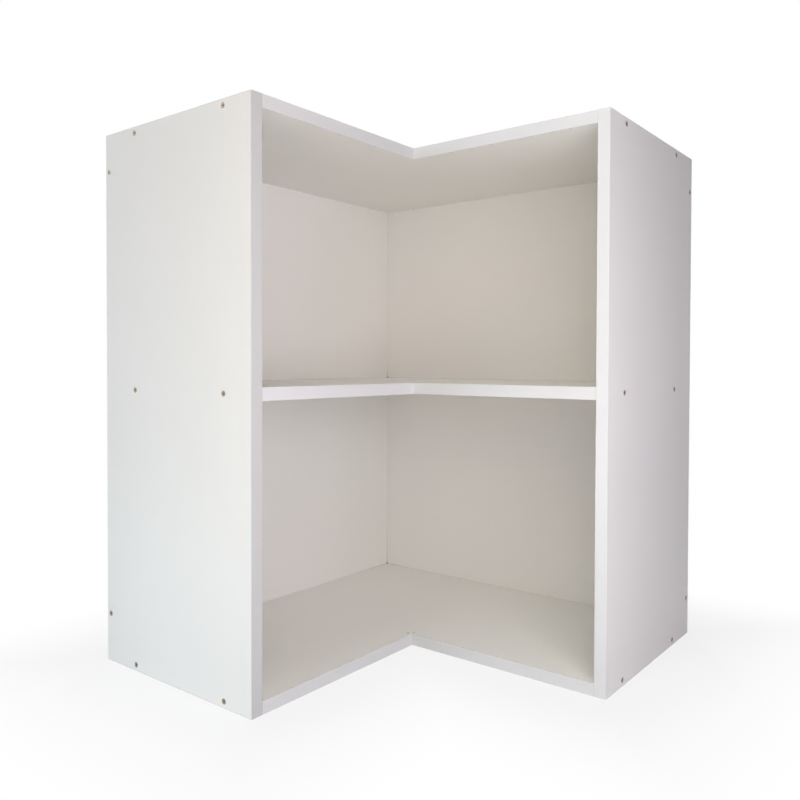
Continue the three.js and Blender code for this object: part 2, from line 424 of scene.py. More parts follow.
class Finish:
    """A material, or the world, while its nodes are being laid out."""

    def __init__(self, owner):
        owner.use_nodes = True
        self.owner = owner
        self.tree = owner.node_tree
        self.tree.nodes.clear()

    def node(self, kind, settings=None, sockets=None, output=0):
        """Adds a node of that kind, sets it up, fills its sockets and gives one of its outputs, if any."""
        made = self.tree.nodes.new(kind)
        for name, value in (settings or {}).items():
            setattr(made, name, value)
        for name, value in (sockets or {}).items():
            if isinstance(value, Value):
                self.tree.links.new(value.output, made.inputs[name])
            else:
                made.inputs[name].default_value = value
        return Value(self, made.outputs[output]) if made.outputs else None

    def place(self, stretch=(1, 1, 1)):
        """Where a point of the cabinet is, in metres, stretched along the axes."""
        place = self.node("ShaderNodeTexCoord", output="Object")
        if stretch != (1, 1, 1):
            sockets = {"Vector": place, "Scale": stretch}
            place = self.node("ShaderNodeMapping", {"vector_type": "POINT"}, sockets)
        return place

    def parts(self, place):
        """The x, y and z of a place."""
        return [self.node("ShaderNodeSeparateXYZ", {}, {0: place}, output=axis) for axis in "XYZ"]

    def noise(self, place, grain, detail=2.0, roughness=0.5):
        """Soft noise from 0 to 1, with lumps as wide as the grain."""
        sockets = {"Vector": place, "Scale": 1 / grain, "Detail": detail, "Roughness": roughness}
        return self.node("ShaderNodeTexNoise", {}, sockets)

    def ramp(self, value, low, high):
        """0 where the value is below low, 1 where it is above high, and smooth between."""
        sockets = {"Value": value, "From Min": low, "From Max": high}
        return self.node("ShaderNodeMapRange", {"interpolation_type": "SMOOTHSTEP"}, sockets)

    def blend(self, factor, first, second):
        """The first colour where the factor is 0 and the second where it is 1."""
        sockets = {0: factor, 6: opaque(first), 7: opaque(second)}
        return self.node("ShaderNodeMix", {"data_type": "RGBA"}, sockets, output=2)

    def bump(self, height, depth, strength=1.0):
        """The surface's normal, with the height from 0 to 1 raised by the depth."""
        return self.node("ShaderNodeBump", {}, {"Height": height, "Distance": depth, "Strength": strength})

    def done(self, **sockets):
        """Ends the material in a Principled shader with these values, and gives it."""
        named = {name.replace("_", " "): value for name, value in sockets.items()}
        shader = self.node("ShaderNodeBsdfPrincipled", {}, named)
        self.node("ShaderNodeOutputMaterial", {}, {"Surface": shader})
        return self.owner


def larger(first, second):
    return first.math("MAXIMUM", first, second)


def smaller(first, second):
    return first.math("MINIMUM", first, second)


def opaque(colour_or_value):
    """A colour with its fourth number, or a Value as it is."""
    return colour_or_value if isinstance(colour_or_value, Value) else (*colour_or_value, 1.0)


def tinted(base, factor):
    """A colour made lighter or darker by one factor, or by one for each channel."""
    factors = factor if isinstance(factor, tuple) else (factor,) * 3
    return tuple(min(1.0, channel * by) for channel, by in zip(base, factors))


def nibbles(finish, place):
    """1 where the saw has nibbled a deck's skin beside an edge band, and 0 elsewhere."""
    x, y, _ = finish.parts(place)
    low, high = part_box("shelf")
    seam_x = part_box("shelf_left_band")[0].x
    seam_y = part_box("shelf_right_band")[1].y
    beside_left = (abs(x - seam_x) < NIBBLE) * (y < seam_y + NIBBLE) * (y > low.y + TOUCH)
    beside_right = (abs(y - seam_y) < NIBBLE) * (x > seam_x - NIBBLE) * (x < high.x - TOUCH)
    torn = finish.ramp(finish.noise(place, grain=3 * MM, detail=3, roughness=0.65), low=0.56, high=0.64)
    return torn * larger(beside_left, beside_right)


def distance(finish, place, point):
    """How far each place is from a point."""
    sockets = {0: place, 1: point}
    return finish.node("ShaderNodeVectorMath", {"operation": "DISTANCE"}, sockets, output="Value")


def joints(finish, place):
    """How dark the inner joints are painted where the planes of two inner faces meet, and 0 elsewhere. Dust
    and painted shade both, deepest in the room's corner above the shelf and the bottom.
    """
    x, y, z = finish.parts(place)
    wall_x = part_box("left_back_panel")[1].x
    wall_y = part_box("rear_back_panel")[0].y
    near = (abs(abs(x) - wall_y) < JOINT) + (abs(abs(y) - wall_y) < JOINT)
    for node in DECKS.values():
        low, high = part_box(node)
        near = near + (abs(abs(z - (low.z + high.z) / 2) - (high.z - low.z) / 2) < JOINT)
    dust_and_shade = finish.ramp(finish.noise(place, grain=70 * MM, detail=2), low=0.4, high=0.75) * 0.25 + 0.05
    corners = [(wall_x, wall_y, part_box(node)[1].z) for node in ("shelf", "bottom_panel")]
    shelf, bottom = (distance(finish, place, corner) for corner in corners)
    corner_dust_and_shade = 0.6  # how dark the painted shade and the dust in the room's corner are, above each deck
    # Painted shade, with dust, deepening towards the room's corner above the shelf and the bottom.
    for away, reach in ((shelf, 30 * MM), (bottom, 90 * MM)):
        dust_and_shade = larger(dust_and_shade, corner_dust_and_shade - corner_dust_and_shade * finish.ramp(away, low=0.0, high=reach))
    two_planes = near > 1.5
    # The dark dot at each very corner is painted shade of the gap there.
    return larger(two_planes * dust_and_shade, smaller(shelf, bottom) < CORNER_SHADE_REACH)


def melamine(finish):
    """The boards' satin white faces: a fine pearl grain, faint clouds and a few wiped smears."""
    settings = bpy.context.scene.cabinet_boards
    base = tuple(settings.face_colour)
    place = finish.place()
    clouds = finish.noise(place, grain=140 * MM, detail=3)
    mottle = finish.noise(place, grain=9 * MM, detail=2)
    wiped = finish.place((1, 1, 0.25))
    smears = finish.ramp(finish.noise(wiped, grain=45 * MM, detail=4, roughness=0.6), low=0.52, high=0.75)
    cloudy = finish.blend(clouds, tinted(base, (0.985, 0.98, 0.975)), tinted(base, (1.012, 1.012, 1.012)))
    mottled = finish.blend(mottle * 0.12, cloudy, tinted(base, (0.94, 0.935, 0.93)))
    # Painted shade and dust along the inner joints and in the room's corners.
    joint_shaded = finish.blend(joints(finish, place), mottled, tuple(settings.joint_dust_and_shade))
    bare = finish.blend(nibbles(finish, place) * 0.85, joint_shaded, tuple(settings.torn_colour))
    pearl = finish.noise(place, grain=0.8 * MM, detail=1)
    ripple = finish.noise(place, grain=6 * MM, detail=1)
    grain = finish.bump(pearl * 0.7 + ripple * 0.3, depth=0.02 * MM, strength=0.5)
    rough = settings.face_gloss - 0.03 + mottle * 0.04 + smears * 0.05 + pearl * 0.02
    return finish.done(Base_Color=bare, Roughness=rough, Normal=grain, Specular_IOR_Level=0.35)


def chipboard(finish, axis):
    """Sawn chipboard, with its chips lying flat in a board that is thin along the axis."""
    settings = bpy.context.scene.cabinet_boards
    light = tuple(settings.chip_light)
    dark = tuple(settings.chip_dark)
    flat = [1.0, 1.0, 1.0]
    flat[axis] = 3.5
    place = finish.place(tuple(flat))
    cells = {"Vector": place, "Scale": 1 / (3.2 * MM), "Randomness": 1.0}
    chips = finish.node("ShaderNodeTexVoronoi", {}, cells, output="Color")
    tone = finish.node("ShaderNodeSeparateColor", {}, {"Color": chips}, output="Red")
    seams = finish.node("ShaderNodeTexVoronoi", {"feature": "DISTANCE_TO_EDGE"}, cells, output="Distance")
    gaps = 1 - finish.ramp(seams, low=0.0, high=0.14)
    fibres = finish.noise(place, grain=1.1 * MM, detail=4, roughness=0.7)
    wood = finish.blend(finish.ramp(tone * 0.7 + fibres * 0.5, low=0.2, high=0.95), dark, light)
    # The gaps between chips are darkened: painted shade in them, and dust.
    dust_and_shade_in_gaps = finish.blend(gaps * 0.65, wood, tinted(dark, 0.5))
    height = fibres * 0.5 + tone * 0.3 - gaps * 0.6
    normal = finish.bump(height, depth=0.25 * MM)
    return finish.done(Base_Color=dust_and_shade_in_gaps, Roughness=0.85 + fibres * 0.1, Normal=normal)


def torn_core(finish):
    """Splinters of the dark core where an edge is chipped."""
    base = tuple(bpy.context.scene.cabinet_boards.torn_colour)
    fibres = finish.noise(finish.place(), grain=0.5 * MM, detail=3, roughness=0.7)
    shade = finish.blend(fibres, tinted(base, 1.5), tinted(base, 3.2))
    return finish.done(Base_Color=shade, Roughness=0.9, Normal=finish.bump(fibres, depth=0.1 * MM))


def edge_band(finish, shade):
    """The bands' white plastic: smoother than the boards, with faint clouds and grime."""
    settings = bpy.context.scene.cabinet_bands
    base = tuple(getattr(settings, shade))
    place = finish.place()
    clouds = finish.noise(place, grain=120 * MM, detail=3)
    grime = finish.ramp(finish.noise(place, grain=14 * MM, detail=4, roughness=0.65), low=0.56, high=0.8)
    fine = finish.noise(place, grain=0.6 * MM, detail=2)
    cloudy = finish.blend(clouds, tinted(base, 0.985), tinted(base, 1.01))
    handled = finish.blend(grime * 0.10, cloudy, tinted(base, (0.90, 0.875, 0.85)))
    rough = settings.band_gloss - 0.02 + clouds * 0.04 + grime * 0.08 + fine * 0.03
    normal = finish.bump(fine, depth=0.01 * MM, strength=0.5)
    return finish.done(Base_Color=handled, Roughness=rough, Normal=normal)


def glue_line(finish):
    """The thin line of glue between a band and its board."""
    base = tuple(bpy.context.scene.cabinet_bands.glue_colour)
    beads = finish.noise(finish.place(), grain=2.5 * MM, detail=3, roughness=0.7)
    shade = finish.blend(beads, tinted(base, 0.7), tinted(base, 1.25))
    normal = finish.bump(beads, depth=0.03 * MM)
    return finish.done(Base_Color=shade, Roughness=0.55 + beads * 0.2, Normal=normal)


def plated_steel(finish):
    """Dull, slightly yellowed plating with fine turning marks and brown tarnish."""
    settings = bpy.context.scene.cabinet_screws
    base = tuple(settings.steel_colour)
    place = finish.place()
    tarnish = finish.ramp(finish.noise(place, grain=1.6 * MM, detail=4, roughness=0.65), low=0.45, high=0.7)
    scratches = finish.noise(finish.place((1, 1, 6)), grain=0.5 * MM, detail=3, roughness=0.7)
    shade = finish.blend(tarnish * 0.55, tinted(base, 1.1), tinted(base, (0.62, 0.52, 0.42)))
    rough = settings.steel_gloss - 0.05 + tarnish * 0.16 + scratches * 0.08
    normal = finish.bump(scratches * 0.6 + tarnish * 0.4, depth=0.03 * MM, strength=0.6)
    return finish.done(Base_Color=shade, Roughness=rough, Metallic=0.9 - tarnish * 0.3, Normal=normal)


def recess_steel(finish):
    """The same steel down in the cross recess, where plating is thin and grime stays, and painted shade
    darkens it.
    """
    base = tuple(bpy.context.scene.cabinet_screws.recess_colour)
    dirt_and_shade = finish.noise(finish.place(), grain=0.5 * MM, detail=3, roughness=0.6)
    # Near-black: painted shade down in the recess, with dirt.
    shade = finish.blend(dirt_and_shade, tinted(base, 0.7), tinted(base, 1.5))
    return finish.done(Base_Color=shade, Roughness=0.6 + dirt_and_shade * 0.2, Metallic=0.5 - dirt_and_shade * 0.3)


MAKERS = {
    "white_melamine": melamine,
    "sawn_chipboard_x": lambda finish: chipboard(finish, 0),
    "sawn_chipboard_y": lambda finish: chipboard(finish, 1),
    "sawn_chipboard_z": lambda finish: chipboard(finish, 2),
    "torn_core": torn_core,
    "white_edge_band": lambda finish: edge_band(finish, "band_colour"),
    "greyer_edge_band": lambda finish: edge_band(finish, "shaded_band_colour"),
    "glue_line": glue_line,
    "plated_steel": plated_steel,
    "recess_steel": recess_steel,
}


def material(name):
    """The material of that name, made when it is first asked for."""
    return bpy.data.materials.get(name) or MAKERS[name](Finish(bpy.data.materials.new(name)))


def paint(piece, names, choose):
    """Gives the piece these materials, and each face the one whose number choose(face) gives."""
    piece.data.materials.clear()
    for name in names:
        piece.data.materials.append(material(name))
    for face in piece.data.polygons:
        face.material_index = choose(face)


# ---- Screws, holes and chips ----


def seat(node):
    """The matrix that takes a screw, modelled along +Z from the top of its head, to its place."""
    low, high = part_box(node)
    way = SCREWS[node]
    middle = (low + high) / 2
    half = abs((high - low).dot(way)) / 2
    turn = Matrix.Rotation((list(SCREWS).index(node) * GOLDEN_ANGLE) % math.tau, 4, "Z")
    aim = way.to_track_quat("Z", "Y").to_matrix().to_4x4()
    return Matrix.Translation(middle - way * half) @ aim @ turn


def screw_length():
    low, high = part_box(next(iter(SCREWS)))
    return max(high - low)


def hole_tool():
    """The drill and countersink as one solid, placed as a screw is."""
    screw = bpy.context.scene.cabinet_screws
    board = bpy.context.scene.cabinet_boards
    head = screw.head_width / 2 + board.mouth_clearance
    shank = screw.thread_width / 2 + board.hole_clearance
    rings = [
        (head, -screw.sink - OVERCUT),
        (head, screw.head_rim),
        (shank, screw.head_rim + screw.head_cone),
        (shank, screw_length() + board.hole_room),
    ]
    return turned("hole_tool", rings, SCREW_SIDES)


def chip_tool(number, middle, width):
    """A ragged pebble that breaks a chip out of an edge."""
    bpy.ops.mesh.primitive_ico_sphere_add(subdivisions=2, radius=width / 2)
    pebble = put_in_mesh(bpy.context.object, f"chip_{number}")
    with shaping(pebble, "VERT"):
        mesh = bmesh.from_edit_mesh(pebble.data)
        for i, corner in enumerate(mesh.verts):
            wave = math.sin(5.1 * i + 2.3 * number)
            corner.co *= 1 + CHIP_RAGGED * wave
            corner.co.z *= CHIP_FLATNESS
        bmesh.update_edit_mesh(pebble.data)
    pebble.data.transform(Matrix.Translation(middle) @ Matrix.Rotation(number * GOLDEN_ANGLE, 4, "Z"))
    return pebble


def in_chip(place):
    """True if a small face at that place lies in a chip."""
    return any((place - Vector(middle)).length < CHIP_REACH * width for middle, width in CHIPS)


def crosses(piece, tool):
    """True if the surfaces of the two cross."""
    trees = []
    for mesh in (piece.data, tool.data):
        corners = [corner.co for corner in mesh.vertices]
        trees.append(BVHTree.FromPolygons(corners, [face.vertices for face in mesh.polygons]))
    return bool(trees[0].overlap(trees[1]))


def cut_chips(piece):
    """Breaks out the chips that reach the piece. A tool that only comes near could leave a stray shell."""
    for number, (middle, width) in enumerate(CHIPS):
        tool = chip_tool(number, Vector(middle), width)
        if crosses(piece, tool):
            combine(piece, tool, "DIFFERENCE")
        else:
            bpy.data.objects.remove(tool)


def drill(piece, box):
    """Drills and countersinks the piece for each screw that reaches it."""
    nodes = [node for node in SCREWS if meets(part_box(node), box)]
    tool = hole_tool()
    drills = joined([placed_copy(tool, seat(node), "drill") for node in nodes])
    bpy.data.objects.remove(tool)
    combine(piece, drills, "DIFFERENCE")


def thread():
    """The thread as one closed helical ridge with run-out ends."""
    screw = bpy.context.scene.cabinet_screws
    root = 0.8 * screw.core_width / 2  # inside the core, so that the ridge joins it
    crest = screw.thread_width / 2
    foot = 0.3 * screw.pitch  # half of the ridge's width at its root
    flat = 0.12 * foot  # half of the flat along its crest
    start = screw.neck
    bare_tip = 0.4 * screw.point
    turns = math.floor((screw_length() - bare_tip - start) / screw.pitch)
    bpy.ops.mesh.primitive_plane_add(size=1)
    ridge = put_in_mesh(bpy.context.object, "thread")
    profile = ((root, -foot), (crest, -flat), (crest, flat), (root, foot))
    with shaping(ridge, "VERT"):
        mesh = bmesh.from_edit_mesh(ridge.data)
        around = [loop.vert for face in mesh.faces for loop in face.loops]
        for corner, (radius, height) in zip(around, profile):
            corner.co = (radius, 0, start + height)
        bmesh.update_edit_mesh(ridge.data)
    with shaping(ridge, "FACE"):
        bpy.ops.mesh.select_all(action="SELECT")
        bpy.ops.mesh.delete(type="ONLY_FACE")
    winding = {"axis": "Z", "angle": math.tau, "screw_offset": screw.pitch, "iterations": turns}
    fineness = {"steps": THREAD_STEPS, "render_steps": THREAD_STEPS, "use_smooth_shade": False}
    apply_modifier(ridge, "SCREW", **winding, **fineness)
    with shaping(ridge, "EDGE"):
        pick_edges(ridge, lambda edge: edge.is_boundary)
        bpy.ops.mesh.fill_holes(sides=0)
        bpy.ops.mesh.select_all(action="SELECT")
        bpy.ops.mesh.normals_make_consistent(inside=False)
    end = start + turns * screw.pitch
    for corner in ridge.data.vertices:
        radius = math.hypot(corner.co.x, corner.co.y)
        rise = max(0.0, corner.co.z - start) / screw.pitch
        fall = max(0.0, end - corner.co.z) / screw.point
        wanted = root + (radius - root) * max(SLIVER, min(1.0, rise, fall))
        wanted *= point_taper(corner.co.z)
        corner.co.x *= wanted / radius
        corner.co.y *= wanted / radius
    return ridge


def point_taper(height):
    """How far the screw has narrowed towards its point at a height, from 1 to nearly 0."""
    screw = bpy.context.scene.cabinet_screws
    left = (screw_length() - height) / screw.point
    bluntness = 0.8
    return min(1.0, max(SLIVER, left) ** bluntness)


def model_screw():
    """The screw, along +Z with the top of its head at the origin."""
    screw = bpy.context.scene.cabinet_screws
    head = screw.head_width / 2
    neck = screw.neck_width / 2
    core = screw.core_width / 2
    cone = screw.head_rim + screw.head_cone
    ease = 0.12 * MM
    flare = 0.35 * MM  # how far the cone runs out into the neck, between:
    flare_start = cone - 0.3 * MM
    flare_end = cone + 0.5 * MM
    shoulder = 0.6 * MM  # where the neck narrows to the core
    rings = [
        (head - ease, 0),
        (head, ease),
        (head, screw.head_rim),
        (neck + flare, flare_start),
        (neck, flare_end),
        (neck, screw.neck - shoulder),
        (core, screw.neck),
    ]
    for i in range(POINT_STEPS + 1):
        height = screw_length() - screw.point * (1 - i / POINT_STEPS)
        rings.append((core * point_taper(height), height))
    piece = turned("screw_model", rings, SCREW_SIDES)
    combine(piece, thread(), "UNION")
    pit = screw.pit_width / 2
    pit_floor = 0.45 * pit
    pit_rings = [(pit, -OVERCUT), (pit, 0), (pit_floor, screw.recess_depth)]
    combine(piece, turned("pit_cutter", pit_rings, PIT_SIDES), "DIFFERENCE")
    for turn in (0, math.pi / 2):
        combine(piece, wing_cutter(turn), "DIFFERENCE")
    for i in range(4):
        combine(piece, tick_cutter(math.pi / 4 + i * math.pi / 2), "DIFFERENCE")
    mend(piece)
    recess = screw.recess_span / 2 + 0.1 * MM  # its walls lie inside this radius

    def part(face):
        below_top = 2 * TOUCH < face.center.z < cone
        return int(below_top and math.hypot(face.center.x, face.center.y) < recess)

    # The recess walls take the near-black recess steel, painted shade as well as dirt.
    paint(piece, ("plated_steel", "recess_steel"), part)
    smooth(piece)
    return piece


def wing_cutter(turn):
    """One bar of the cross recess, narrowing towards its bottom."""
    screw = bpy.context.scene.cabinet_screws
    half_span = screw.recess_span / 2
    half_width = screw.recess_width / 2
    low = Vector((-half_span, -half_width, -OVERCUT))
    high = Vector((half_span, half_width, screw.recess_depth))
    narrowed = (0.5, 0.6, 1)
    bar = block("wing_cutter", low, high)
    with shaping(bar, "FACE"):
        pick_faces(bar, lambda face: looks(face, UP))
        bpy.ops.transform.resize(value=narrowed, center_override=(0, 0, screw.recess_depth))
    bar.data.transform(Matrix.Rotation(turn, 4, "Z"))
    return bar


def tick_cutter(turn):
    """One of the four short marks between the wings."""
    screw = bpy.context.scene.cabinet_screws
    head = screw.head_width / 2
    half_width = 0.08 * MM
    depth = 0.12 * MM
    draft = 0.03 * MM
    low = Vector((0.45 * head, -half_width, -OVERCUT))
    high = Vector((0.78 * head, half_width, depth))
    bar = block("tick_cutter", low, high)
    with shaping(bar, "FACE"):
        pick_faces(bar, lambda face: looks(face, UP))
        bpy.ops.mesh.inset(thickness=draft, depth=0)
    bar.data.transform(Matrix.Rotation(turn, 4, "Z"))
    return bar


# ---- Boards ----


def board_name(node):
    return node.removesuffix("_panel") + "_board"


def is_banded(face, bands):
    """True if one of the bands' boxes covers the middle of a face."""
    middle = face.calc_center_median()
    return any(meets((middle, middle), box) for box in bands)


def break_edges(piece, bands, width):
    """Breaks the board's sharp edges to that width, but not those that a band covers."""

    def wanted(edge):
        if len(edge.link_faces) != 2 or edge.calc_face_angle(0) < FLAT_ANGLE:
            return False
        return not any(is_banded(face, bands) for face in edge.link_faces)

    with shaping(piece, "EDGE"):
        pick_edges(piece, wanted)
        bpy.ops.mesh.bevel(offset=width, segments=1, affect="EDGES")


def skin_lines(piece, axis, low, high):
    """Parts the board's edges where the melamine skins end and the core begins."""
    skin = bpy.context.scene.cabinet_boards.skin
    way = Vector([float(i == axis) for i in range(3)])
    for height in (low[axis] + skin, high[axis] - skin):
        with shaping(piece, "FACE"):
            bpy.ops.mesh.select_all(action="SELECT")
            bpy.ops.mesh.bisect(plane_co=way * height, plane_no=way)


def finish_board(piece, node, arris):
    """Skins, arrises, holes, chips and materials, for a board that has its outline."""
    settings = bpy.context.scene.cabinet_boards
    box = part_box(node)
    axis = thin_axis(*box)
    bands = [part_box(band) for band in {**END_BANDS, **DECK_BANDS} if meets(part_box(band), box)]
    skin_lines(piece, axis, *box)
    break_edges(piece, bands, arris)
    drill(piece, box)
    cut_chips(piece)
    mend(piece)
    low, high = box

    def part(face):
        if in_chip(face.center):
            return 2
        depth = min(face.center[axis] - low[axis], high[axis] - face.center[axis])
        return int(depth > settings.skin)

    paint(piece, ("white_melamine", "sawn_chipboard_" + "xyz"[axis], "torn_core"), part)
    smooth(piece)
    finish_piece(piece, [node])


def straight_board(node, arris):
    """A rectangular board."""
    finish_board(block(board_name(node), *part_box(node)), node, arris)


def deck_board(deck, node):
    """An L-shaped board: the square in the room's corner, with an arm drawn out of its two open sides."""
    low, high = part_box(node)
    front_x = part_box(f"{deck}_left_band")[0].x
    front_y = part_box(f"{deck}_right_band")[1].y
    piece = block(board_name(node), Vector((low.x, front_y, low.z)), Vector((front_x, high.y, high.z)))
    with shaping(piece, "FACE"):
        pick_faces(piece, lambda face: looks(face, RIGHT))
        bpy.ops.mesh.extrude_region_move(TRANSFORM_OT_translate={"value": (high.x - front_x, 0, 0)})
        pick_faces(piece, lambda face: looks(face, FRONT) and face.calc_center_median().x < front_x)
        bpy.ops.mesh.extrude_region_move(TRANSFORM_OT_translate={"value": (0, low.y - front_y, 0)})
    corner = Vector((low.x, high.y))
    with shaping(piece, "EDGE"):
        pick_edges(piece, lambda edge: all((end.co.xy - corner).length < TOUCH for end in edge.verts))
        bpy.ops.mesh.bevel(offset=bpy.context.scene.cabinet_boards.corner_nick, segments=1, affect="EDGES")
    finish_board(piece, node, bpy.context.scene.cabinet_boards.joint_arris)


class CABINET_OT_end_panels(bpy.types.Operator):
    """Add the left and the right end panel"""

    bl_idname = "cabinet.end_panels"
    bl_label = "End Panels"

    def execute(self, context):
        for node in END_PANELS:
            straight_board(node, context.scene.cabinet_boards.arris)
        return {"FINISHED"}


class CABINET_OT_back_panels(bpy.types.Operator):
    """Add the two back panels, against the walls"""

    bl_idname = "cabinet.back_panels"
    bl_label = "Back Panels"

    def execute(self, context):
        for node in BACK_PANELS:
            straight_board(node, context.scene.cabinet_boards.joint_arris)
        return {"FINISHED"}


class CABINET_OT_decks(bpy.types.Operator):
    """Add the L-shaped top, shelf and bottom"""

    bl_idname = "cabinet.decks"
    bl_label = "Top, Shelf and Bottom"

    def execute(self, context):
        for deck, node in DECKS.items():
            deck_board(deck, node)
        return {"FINISHED"}


# ---- Bands ----


def edge_banding(node, outward):
    """A strip glued on an edge: a glue line at its back, and its face rounded along its long edges."""
    settings = bpy.context.scene.cabinet_bands
    low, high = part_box(node)
    strip = block(node.removesuffix("_band") + "_edging", low, high)
    back = low if outward.dot(Vector((1, 1, 1))) > 0 else high
    glue = back + outward * settings.glue_line
    face_height = (high if back is low else low).dot(outward)
    run = max(range(3), key=lambda axis: high[axis] - low[axis])
    with shaping(strip, "FACE"):
        bpy.ops.mesh.select_all(action="SELECT")
        bpy.ops.mesh.bisect(plane_co=glue, plane_no=outward, threshold=TOUCH)

    def rims(along):
        """The face's edges that run along the strip, or else those across it."""

        def wanted(edge):
            on_face = all(abs(end.co.dot(outward) - face_height) < TOUCH for end in edge.verts)
            way = edge.verts[1].co - edge.verts[0].co
            return on_face and (abs(way[run]) > PARALLEL * way.length) == along

        return wanted

    with shaping(strip, "EDGE"):
        pick_edges(strip, rims(False))
        bpy.ops.mesh.bevel(offset=settings.end_easing, segments=1, affect="EDGES")
        pick_edges(strip, rims(True))
        bpy.ops.mesh.bevel(offset=settings.rounding, segments=3, affect="EDGES")
    cut_chips(strip)
    mend(strip)

    def part(face):
        if in_chip(face.center):
            return 2
        at_glue = abs((face.center - back).dot(outward)) < settings.glue_line
        at_end = abs(face.normal[run]) > 0.3  # its eased flat too
        return int(at_glue or at_end)

    # The left end panel's bands get the darker white, which is painted shade.
    roll = "greyer_edge_band" if node.startswith("left_end") else "white_edge_band"
    paint(strip, (roll, "glue_line", "torn_core"), part)
    smooth(strip)
    finish_piece(strip, [node])


class CABINET_OT_end_bands(bpy.types.Operator):
    """Add the bands on the front, top and bottom edges of the end panels"""

    bl_idname = "cabinet.end_bands"
    bl_label = "End Panel Bands"

    def execute(self, context):
        for node, outward in END_BANDS.items():
            edge_banding(node, outward)
        return {"FINISHED"}


class CABINET_OT_deck_bands(bpy.types.Operator):
    """Add the two front bands of the top, the shelf and the bottom"""

    bl_idname = "cabinet.deck_bands"
    bl_label = "Deck Bands"

    def execute(self, context):
        for node, outward in DECK_BANDS.items():
            edge_banding(node, outward)
        return {"FINISHED"}


class CABINET_OT_screws(bpy.types.Operator):
    """Add the countersunk screws, all copies of one"""

    bl_idname = "cabinet.screws"
    bl_label = "Screws"

    def execute(self, context):
        original = model_screw()
        for node in SCREWS:
            copy = placed_copy(original, seat(node), "chipboard_" + node)
            finish_piece(copy, [node])
        bpy.data.objects.remove(original)
        return {"FINISHED"}


# ---- Stage ----

FLOOR_SIDES = 96
FLOOR_GAP = 0.3 * MM  # keeps the floor clear of the cabinet's underside
SHADE_START = -0.02  # metres beside the cabinet, where the floor's own shade begins to turn white
SHADE_END = 0.25

# Where the photograph was taken from, and its frame.
PICTURE_SIDE = 800.0  # pixels
SENSOR_SIDE = 36.0  # millimetres
CAMERA_AZIMUTH = math.radians(37.4238)
CAMERA_ELEVATION = math.radians(1.0565)
CAMERA_ROLL = math.radians(0.1754)
CAMERA_PLACE = Vector((0.6857391, -0.8822808, 0.4105381))
FOCAL_PIXELS = 771.622
PICTURE_CENTRE = Vector((418.8006, 377.4552))  # pixel that the camera points at

MIDDLE = (0.0, 0.0, 0.36)  # what most lamps look at

# Name, place, what it looks at, side, power and colour of each soft square lamp.
LAMPS = (
    ("front_high", (0.0, -2.83, 3.19), MIDDLE, 1.6, 20.4, (0.893, 1.0, 0.899)),
    ("camera_high", (2.0, -2.0, 3.19), MIDDLE, 1.6, 11.4, (0.97, 0.985, 1.0)),
    ("camera_near", (0.7, -0.55, 0.42), MIDDLE, 0.5, 4.02, (0.999, 0.989, 1.0)),
    ("camera_above", (0.6, -0.9, 0.9), MIDDLE, 0.4, 1.58, (1.0, 0.811, 0.683)),
    ("right_low", (1.2, -0.35, 0.37), MIDDLE, 0.5, 1.66, (0.725, 0.65, 1.0)),
    ("left_high", (-2.12, -1.22, 1.25), MIDDLE, 2.0, 22.6, (0.78, 0.818, 1.0)),
    ("left_low", (-0.15, -0.8, 0.08), (-0.15, -0.3, 0.02), 0.2, 0.7, (0.752, 0.902, 1.0)),
    ("floor_card", (0.5, -1.3, 0.02), (0.5, -1.3, 1.0), 0.8, 4.08, (1.0, 0.874, 0.638)),
    ("top_card", (-0.08, 0.08, 1.35), (-0.08, 0.08, 0.72), 0.6, 2.2, (1.0, 1.0, 1.0)),
    ("back", (-1.36, 1.95, 0.69), MIDDLE, 0.8, 31.0, (1.0, 1.0, 1.0)),
)

# Lamps that would leave hot spots where the boards mirror them.
UNMIRRORED = ("camera_near", "back")


def direction(azimuth, elevation):
    """The way from the cabinet to something at that azimuth and elevation, in radians."""
    level = math.cos(elevation)
    return Vector((math.sin(azimuth) * level, -math.cos(azimuth) * level, math.sin(elevation)))


def add_camera():
    back = direction(CAMERA_AZIMUTH, CAMERA_ELEVATION)
    side = (-back).cross(UP).normalized()
    above = side.cross(-back)
    right = side * math.cos(CAMERA_ROLL) + above * math.sin(CAMERA_ROLL)
    top = above * math.cos(CAMERA_ROLL) - side * math.sin(CAMERA_ROLL)
    lens = bpy.data.cameras.new("camera")
    lens.sensor_width = SENSOR_SIDE
    lens.lens = SENSOR_SIDE * FOCAL_PIXELS / PICTURE_SIDE
    lens.shift_x = 0.5 - PICTURE_CENTRE.x / PICTURE_SIDE
    lens.shift_y = PICTURE_CENTRE.y / PICTURE_SIDE - 0.5
    camera = bpy.data.objects.new("camera", lens)
    camera.matrix_world = Matrix.Translation(CAMERA_PLACE) @ Matrix((right, top, back)).transposed().to_4x4()
    bpy.context.scene.collection.objects.link(camera)
    bpy.context.scene.camera = camera


def add_lamps():
    for name, place, target, side, power, shade in LAMPS:
        lamp = bpy.data.lights.new(name, "AREA")
        lamp.shape = "SQUARE"
        lamp.size = side
        lamp.energy = power
        lamp.color = shade
        holder = bpy.data.objects.new(name, lamp)
        holder.location = place
        away = Vector(place) - Vector(target)
        holder.rotation_euler = away.to_track_quat("Z", "Y").to_euler()
        holder.visible_camera = False
        holder.visible_glossy = name not in UNMIRRORED
        bpy.context.scene.collection.objects.link(holder)


def picture_rays(finish):
    """1 for rays from the camera, straight, mirrored or through glass, and 0 for others."""
    kinds = ("Is Camera Ray", "Is Glossy Ray", "Is Transmission Ray")
    camera, glossy, through = (finish.node("ShaderNodeLightPath", output=kind) for kind in kinds)
    return smaller(camera + glossy + through, 1.0)


